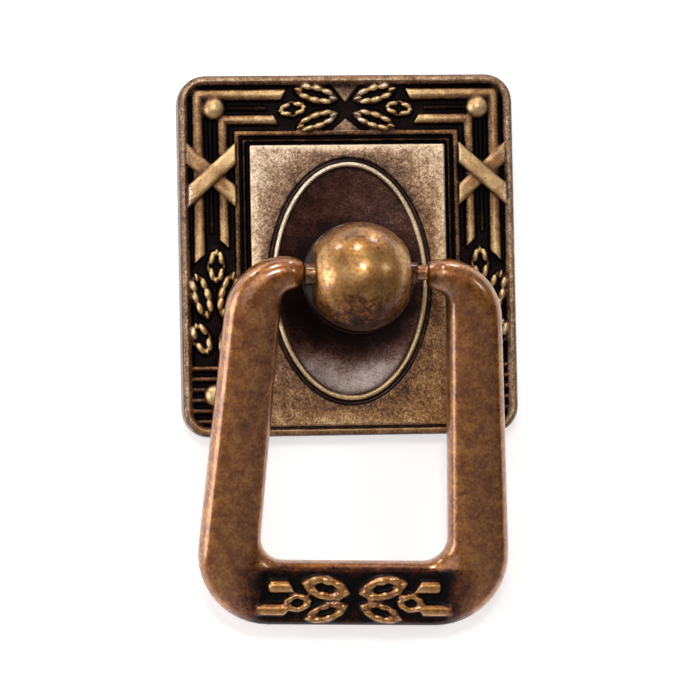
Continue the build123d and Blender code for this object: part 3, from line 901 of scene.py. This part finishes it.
def addShifts(tree, tone, shifts):
    # moves a tone up or down by each mask, by how far the mask is from its middle value
    for mask, weight, middle in shifts:
        centred = addMath(tree, "SUBTRACT", mask, middle)
        tone = addMath(tree, "ADD", tone, addMath(tree, "MULTIPLY", centred, weight))
    return addMath(tree, "ADD", tone, 0, clamp=True)


def addMix(tree, share, first, second):
    mix = addNode(tree, "ShaderNodeMix", data_type="RGBA", clamp_factor=True)
    for socket, value in ((mix.inputs[0], share), (mix.inputs[6], first), (mix.inputs[7], second)):
        tree.links.new(value, socket)
    return mix.outputs[2]


def linear(channel):
    # from a 0 to 255 colour value to the linear value that a shader takes
    value = channel / 255
    return value / 12.92 if value <= 0.04045 else ((value + 0.055) / 1.055) ** 2.4


def addRamp(tree, value, stops):
    ramp = addNode(tree, "ShaderNodeValToRGB")
    tree.links.new(value, ramp.inputs["Fac"])
    elements = ramp.color_ramp.elements
    while len(elements) < len(stops):
        elements.new(0.5)
    for element, (position, colour) in zip(elements, stops):
        element.position = position
        element.color = (*[linear(channel) for channel in colour], 1)
    return ramp.outputs["Color"]


def readAttribute(tree, name):
    return addNode(tree, "ShaderNodeAttribute", attribute_name=name).outputs["Fac"]


def placeOf(tree, axis):
    place = addNode(tree, "ShaderNodeTexCoord").outputs["Object"]
    split = addNode(tree, "ShaderNodeSeparateXYZ")
    tree.links.new(place, split.inputs["Vector"])
    return split.outputs[axis]


castLayers = [  # detail and roughness of the noise, and the range that it is spread from
    ("Grain", 2.5, 0.65, 0.32, 0.68),
    ("Mottle", 4.0, 0.62, 0.34, 0.66),
    ("Speck", 3.0, 0.7, 0.58, 0.72),
]
speckScale = 0.45  # the specks' noise is less fine than the grain's
speckHeight = -1.2  # a speck is a pit, a little deeper than the grain is high


def makeCastSkin():
    # the skin of a cast and patinated piece: a fine grain, a broad mottle, dark specks and a height for bump
    group = bpy.data.node_groups.new("castSkin", "ShaderNodeTree")
    face = group.interface
    face.new_socket("Place", in_out="INPUT", socket_type="NodeSocketVector")
    for name in ("Grain Size", "Mottle Size"):
        face.new_socket(name, in_out="INPUT", socket_type="NodeSocketFloat")
    for name in ("Grain", "Mottle", "Speck", "Height"):
        face.new_socket(name, in_out="OUTPUT", socket_type="NodeSocketFloat")
    entry = group.nodes.new("NodeGroupInput")
    leave = group.nodes.new("NodeGroupOutput")
    scales = {}
    for name in ("Grain", "Mottle"):
        scales[name] = addMath(group, "DIVIDE", 1.0, entry.outputs[f"{name} Size"])
    scales["Speck"] = addMath(group, "MULTIPLY", scales["Grain"], speckScale)
    layers = {}
    for name, detail, roughness, low, high in castLayers:
        noise = addNode(group, "ShaderNodeTexNoise")
        group.links.new(entry.outputs["Place"], noise.inputs["Vector"])
        group.links.new(scales[name], noise.inputs["Scale"])
        noise.inputs["Detail"].default_value = detail
        noise.inputs["Roughness"].default_value = roughness
        layers[name] = addSpread(group, noise.outputs["Fac"], low, high)
    pits = addMath(group, "MULTIPLY", layers["Speck"], speckHeight)
    layers["Height"] = addMath(group, "ADD", layers["Grain"], pits)
    for name, value in layers.items():
        group.links.new(value, leave.inputs[name])
    return group


def startMaterial(name, skin, materialLook):
    material = bpy.data.materials.new(name)
    material.use_nodes = True
    tree = material.node_tree
    shader = tree.nodes["Principled BSDF"]
    place = addNode(tree, "ShaderNodeTexCoord").outputs["Object"]
    inMillimetres = addNode(tree, "ShaderNodeMapping")
    tree.links.new(place, inMillimetres.inputs["Vector"])
    inMillimetres.inputs["Scale"].default_value = (1 / millimetre,) * 3
    cast = addNode(tree, "ShaderNodeGroup", node_tree=skin)
    tree.links.new(inMillimetres.outputs["Vector"], cast.inputs["Place"])
    cast.inputs["Grain Size"].default_value = materialLook["grainSize"]
    cast.inputs["Mottle Size"].default_value = materialLook["mottleSize"]
    return material, tree, shader, cast


def finishMaterial(tree, shader, cast, tone, colour, coat, materialLook):
    # the brighter a spot's tone, from rubbing and painted light alike, the smoother it is
    tree.links.new(colour, shader.inputs["Base Color"])
    tree.links.new(addSpread(tree, tone, 0, 1, *materialLook["rough"]), shader.inputs["Roughness"])
    bump = addNode(tree, "ShaderNodeBump")
    bump.inputs["Strength"].default_value = materialLook["bump"]
    bump.inputs["Distance"].default_value = 0.06 * millimetre
    tree.links.new(cast.outputs["Height"], bump.inputs["Height"])
    tree.links.new(bump.outputs["Normal"], shader.inputs["Normal"])
    shader.inputs["Metallic"].default_value = materialLook["metallic"]
    tree.links.new(coat, shader.inputs["Coat Weight"])
    shader.inputs["Coat Roughness"].default_value = materialLook["coatRough"]
    shader.inputs["Coat IOR"].default_value = materialLook["coatIOR"]


paleAndLitPlateTones = [
    (0.0, (14, 7, 10)), (0.3, (40, 22, 22)), (0.46, (98, 70, 52)),
    (0.64, (166, 130, 98)), (0.9, (250, 226, 198)),
]
lowerPlateTones = [
    (0.0, (14, 7, 8)), (0.3, (36, 20, 15)), (0.46, (92, 60, 38)),
    (0.64, (158, 112, 66)), (0.9, (235, 198, 142)),
]
dishTones = [(0.0, (36, 18, 16)), (0.3, (88, 50, 38)), (0.6, (130, 96, 82)), (1.0, (178, 162, 156))]
plateFinishAndPaintedLight = {  # shares by which each mask moves the tone, and places in metres
    "grainSize": 0.24, "mottleSize": 1.5, "middle": 0.52, "relief": 0.75,
    "grain": 0.3, "crestGrain": -0.2, "speck": -0.12, "speckMiddle": 0.1, "mottle": 0.16, "ground": -0.22,
    # the dish's paler lower part is painted light, and its dark ring round the ball painted shadow
    "dishMiddle": 0.28, "dishPaintedLight": 0.6, "dishPaintedLightReach": (-0.0070, -0.0105),
    "dishGrain": 0.42, "dishMottle": 0.3, "dishPaintedShadow": -0.4,
    "rough": (0.58, 0.32), "bump": 0.45, "metallic": 0.9,
    "coat": 0.4, "coatInGround": -0.38, "coatRough": 0.3, "coatIOR": 1.6,
}


def makePlateMaterial(skin, materialLook):
    material, tree, shader, cast = startMaterial("patinatedPlateWithPaintedLight", skin, materialLook)
    relief, ground, crest = (readAttribute(tree, name) for name in ("relief", "ground", "crest"))
    tone = addMath(tree, "MULTIPLY_ADD", relief, materialLook["relief"], materialLook["middle"])
    grainShare = addMath(tree, "MULTIPLY_ADD", crest, materialLook["crestGrain"], materialLook["grain"])
    tone = addShifts(tree, tone, (
        (cast.outputs["Grain"], grainShare, 0.5),
        (cast.outputs["Speck"], materialLook["speck"], materialLook["speckMiddle"]),
        (cast.outputs["Mottle"], materialLook["mottle"], 0.5),
        (ground, materialLook["ground"], 0),
    ))
    # the paler ramp serves the field's painted light on its upper left and the paler colour of the rim and
    # webs
    upper, lower = addRamp(tree, tone, paleAndLitPlateTones), addRamp(tree, tone, lowerPlateTones)
    colour = addMix(tree, readAttribute(tree, "paleAndPaintedLight"), lower, upper)
    # the dish is red-brown, with painted light making it paler below the ball
    below = addSpread(tree, placeOf(tree, "Z"), *materialLook["dishPaintedLightReach"])
    dishTone = addMath(tree, "MULTIPLY_ADD", below, materialLook["dishPaintedLight"], materialLook["dishMiddle"])
    dishTone = addShifts(tree, dishTone, (
        (cast.outputs["Grain"], materialLook["dishGrain"], 0.5),
        (cast.outputs["Mottle"], materialLook["dishMottle"], 0.5),
        # painted shadow round the ball
        (readAttribute(tree, "paintedShadow"), materialLook["dishPaintedShadow"], 0),
    ))
    colour = addMix(tree, readAttribute(tree, "dish"), colour, addRamp(tree, dishTone, dishTones))
    coat = addMath(tree, "MULTIPLY_ADD", ground, materialLook["coatInGround"], materialLook["coat"])
    finishMaterial(tree, shader, cast, tone, colour, coat, materialLook)
    return material


ballTones = [(0.0, (36, 18, 12)), (0.25, (98, 56, 26)), (0.6, (176, 124, 64)), (1.0, (222, 178, 112))]
ballFinishAndPaintedShade = {  # shares by which each mask moves the tone, and places in metres
    "grainSize": 0.45, "mottleSize": 1.8, "middle": 0.5, "mottle": 0.34, "grain": 0.2, "speck": -0.3,
    # painted shade on the ball's lower side, its top, the ring behind it and the boss on each side
    "undersidePaintedShade": -0.56, "undersideShadeReach": (-0.0005, -0.0058), "top": -0.24, "topShadeReach": (0.002, 0.006),
    "collar": -0.6, "collarReach": (-0.0113, -0.0108), "bosses": -0.4, "bossReach": (0.0056, 0.0059),
    "rough": (0.6, 0.26), "bump": 0.14, "metallic": 0.9,
    "coat": 0.5, "coatReach": (-0.006, -0.001), "coatRough": 0.14, "coatIOR": 1.7,
}


def makeBallMaterial(skin, materialLook):
    material, tree, shader, cast = startMaterial("rubbedBallWithPaintedShade", skin, materialLook)
    height, depth = placeOf(tree, "Z"), placeOf(tree, "Y")
    side = addMath(tree, "ABSOLUTE", placeOf(tree, "X"))
    tone = addMath(tree, "MULTIPLY_ADD", cast.outputs["Mottle"], materialLook["mottle"], materialLook["middle"])
    # painted shade: the ball's lower side, the ring behind it, the boss on each side and its top are darker
    # than its front
    tone = addShifts(tree, tone, (
        (cast.outputs["Grain"], materialLook["grain"], 0.5),
        (cast.outputs["Speck"], materialLook["speck"], 0),
        (addSpread(tree, height, *materialLook["undersideShadeReach"]), materialLook["undersidePaintedShade"], 0),
        (addSpread(tree, depth, *materialLook["collarReach"]), materialLook["collar"], 0),
        (addSpread(tree, side, *materialLook["bossReach"]), materialLook["bosses"], 0),
        (addSpread(tree, height, *materialLook["topShadeReach"]), materialLook["top"], 0),
    ))
    coat = addMath(tree, "MULTIPLY", addSpread(tree, height, *materialLook["coatReach"]), materialLook["coat"])
    finishMaterial(tree, shader, cast, tone, addRamp(tree, tone, ballTones), coat, materialLook)
    return material


bailTones = [
    (0.0, (12, 7, 8)), (0.22, (78, 34, 12)), (0.45, (150, 83, 24)),
    (0.7, (208, 143, 58)), (1.0, (246, 212, 160)),
]
bailFinish = {  # shares by which each mask moves the tone
    "grainSize": 0.4, "mottleSize": 1.5, "middle": 0.5, "relief": 0.7, "recess": -0.42,
    "mottle": 0.22, "grain": 0.2, "speck": -0.22,
    "rough": (0.48, 0.3), "bump": 0.25, "metallic": 0.8,
    "coat": 0.8, "coatInRecess": -0.76, "coatRough": 0.17, "coatIOR": 2.0,
}


def makeBailMaterial(skin, materialLook):
    material, tree, shader, cast = startMaterial("rubbedBail", skin, materialLook)
    relief, recess = readAttribute(tree, "relief"), readAttribute(tree, "recess")
    tone = addMath(tree, "MULTIPLY_ADD", relief, materialLook["relief"], materialLook["middle"])
    tone = addShifts(tree, tone, (
        (recess, materialLook["recess"], 0),
        (cast.outputs["Mottle"], materialLook["mottle"], 0.5),
        (cast.outputs["Grain"], materialLook["grain"], 0.5),
        (cast.outputs["Speck"], materialLook["speck"], 0),
    ))
    coat = addMath(tree, "MULTIPLY_ADD", recess, materialLook["coatInRecess"], materialLook["coat"])
    finishMaterial(tree, shader, cast, tone, addRamp(tree, tone, bailTones), coat, materialLook)
    return material


# Camera, stage and light

cameraSizes = {
    "azimuth": -8.03, "elevation": -2.49, "roll": -1.147, "distance": 0.7, "focal": 289.9,
    "target": (0, -0.004, -0.0095), "aim": (-0.00025, -0.004, -0.0086),
}


def makeCamera(sizes):
    azimuth, elevation, roll = (math.radians(sizes[name]) for name in ("azimuth", "elevation", "roll"))
    level = math.cos(elevation)
    back = Vector((math.sin(azimuth) * level, -math.cos(azimuth) * level, math.sin(elevation)))
    position = Vector(sizes["target"]) + back * sizes["distance"]
    back = (position - Vector(sizes["aim"])).normalized()
    across = Vector((0, 0, 1)).cross(back).normalized()
    up = back.cross(across)
    right = math.cos(roll) * across + math.sin(roll) * up
    up = back.cross(right)
    view = Matrix((right, up, back)).transposed().to_4x4()
    view.translation = position
    camera = bpy.data.cameras.new("camera")
    camera.lens = sizes["focal"]
    camera.sensor_width = 36
    camera.clip_start = 0.01
    holder = bpy.data.objects.new("camera", camera)
    holder.matrix_world = view
    bpy.context.scene.collection.objects.link(holder)
    bpy.context.scene.camera = holder
    return view.to_3x3()


lamps = [  # name, direction in the camera's own axes, width, brightness, tint
    ("leftBox", (-0.97, 0.0, 0.22), 0.34, 4.0, (0.95, 0.97, 1.0)),
    ("front", (-0.22, 0.25, 0.94), 0.42, 0.8, (1.0, 0.98, 0.97)),
    ("upperLeft", (-0.58, 0.80, 0.11), 0.09, 13.0, (1.0, 0.98, 0.96)),
    ("above", (-0.09, 0.90, 0.45), 0.09, 17.0, (1.0, 0.98, 0.96)),
    ("aboveRight", (0.33, 0.95, 0.01), 0.09, 12.0, (1.0, 0.98, 0.96)),
    ("nearCamera", (0.08, 0.39, 0.92), 0.085, 18.0, (1.0, 0.98, 0.96)),
    ("right", (0.79, 0.30, 0.55), 0.08, 7.0, (1.0, 0.98, 0.96)),
]
lampCentre = (0, -0.006, -0.008)
lampDistance = 0.42


def makeLamps(view):
    for name, direction, width, brightness, tint in lamps:
        lamp = bpy.data.lights.new(name, "AREA")
        lamp.shape = "DISK"
        lamp.size = width
        lamp.color = tint
        lamp.energy = brightness * math.pi * math.pi * (width / 2) ** 2
        holder = bpy.data.objects.new(name, lamp)
        away = (view @ Vector(direction)).normalized()
        holder.location = Vector(lampCentre) + away * lampDistance
        holder.rotation_euler = away.to_track_quat("Z", "Y").to_euler()
        bpy.context.scene.collection.objects.link(holder)


stageSizes = {
    "size": 3, "wallGap": 0.0003, "floorDrop": 0.5,
    "wall": (0.86, 0.86, 0.86, 1), "floor": (0.8, 0.8, 0.79, 1), "roughness": 0.9, "wallGlow": 0.58,
}


def addSheet(name, colour, location, rotation=(0, 0, 0)):
    bpy.ops.mesh.primitive_plane_add(size=stageSizes["size"], location=location, rotation=rotation)
    sheet = applyPlace(bpy.context.object)
    sheet.name = name
    paint = bpy.data.materials.new(f"{name}Paint")
    paint.use_nodes = True
    shader = paint.node_tree.nodes["Principled BSDF"]
    shader.inputs["Base Color"].default_value = colour
    shader.inputs["Roughness"].default_value = stageSizes["roughness"]
    sheet.data.materials.append(paint)
    return sheet, paint.node_tree, shader


def makeStage(sizes):
    # a pale wall behind the plate that isn't seen from behind, and a pale floor below
    upright = (math.radians(90), 0, 0)
    wall, tree, shader = addSheet("wall", sizes["wall"], (0, sizes["wallGap"], 0), upright)
    floor, _, _ = addSheet("floor", sizes["floor"], (0, 0, -sizes["floorDrop"]))
    # only the camera and the brass see the wall's glow, so it is white and lights nothing by itself
    shader.inputs["Specular IOR Level"].default_value = 0.0
    shader.inputs["Emission Color"].default_value = (1, 1, 1, 1)
    path = addNode(tree, "ShaderNodeLightPath")
    seen = addMath(tree, "MAXIMUM", path.outputs["Is Camera Ray"], path.outputs["Is Glossy Ray"])
    tree.links.new(addMath(tree, "MULTIPLY", seen, sizes["wallGlow"]), shader.inputs["Emission Strength"])
    clear = addNode(tree, "ShaderNodeBsdfTransparent")
    choice = addNode(tree, "ShaderNodeMixShader")
    tree.links.new(addNode(tree, "ShaderNodeNewGeometry").outputs["Backfacing"], choice.inputs["Fac"])
    tree.links.new(shader.outputs["BSDF"], choice.inputs[1])
    tree.links.new(clear.outputs["BSDF"], choice.inputs[2])
    tree.links.new(choice.outputs["Shader"], tree.nodes["Material Output"].inputs["Surface"])


studioTones = [(0.4, (24, 22, 21)), (0.58, (122, 119, 117)), (1.0, (165, 165, 165))]
studioStrength = 0.8


def makeWorld():
    # a plain studio: pale above, darker towards the floor
    world = bpy.data.worlds.new("studio")
    world.use_nodes = True
    tree = world.node_tree
    background = tree.nodes["Background"]
    place = addNode(tree, "ShaderNodeTexCoord").outputs["Generated"]
    split = addNode(tree, "ShaderNodeSeparateXYZ")
    tree.links.new(place, split.inputs["Vector"])
    rise = addMath(tree, "MULTIPLY_ADD", split.outputs["Z"], 0.5, 0.5)
    tree.links.new(addRamp(tree, rise, studioTones), background.inputs["Color"])
    background.inputs["Strength"].default_value = studioStrength
    bpy.context.scene.world = world


plate = makeBackplate(plateSizes)
print("backplate", len(plate.data.polygons), "faces")
post = makePost(postSizes)
print("post", len(post.data.polygons), "faces")
bail = makeBail(bailSizes)
print("bail", len(bail.data.polygons), "faces")

castSkin = makeCastSkin()
plate.data.materials.append(makePlateMaterial(castSkin, plateFinishAndPaintedLight))
post.data.materials.append(makeBallMaterial(castSkin, ballFinishAndPaintedShade))
bail.data.materials.append(makeBailMaterial(castSkin, bailFinish))
print("materials ready")

makeStage(stageSizes)
makeLamps(makeCamera(cameraSizes))
makeWorld()
bpy.context.scene.view_settings.view_transform = "Standard"
print("stage ready")
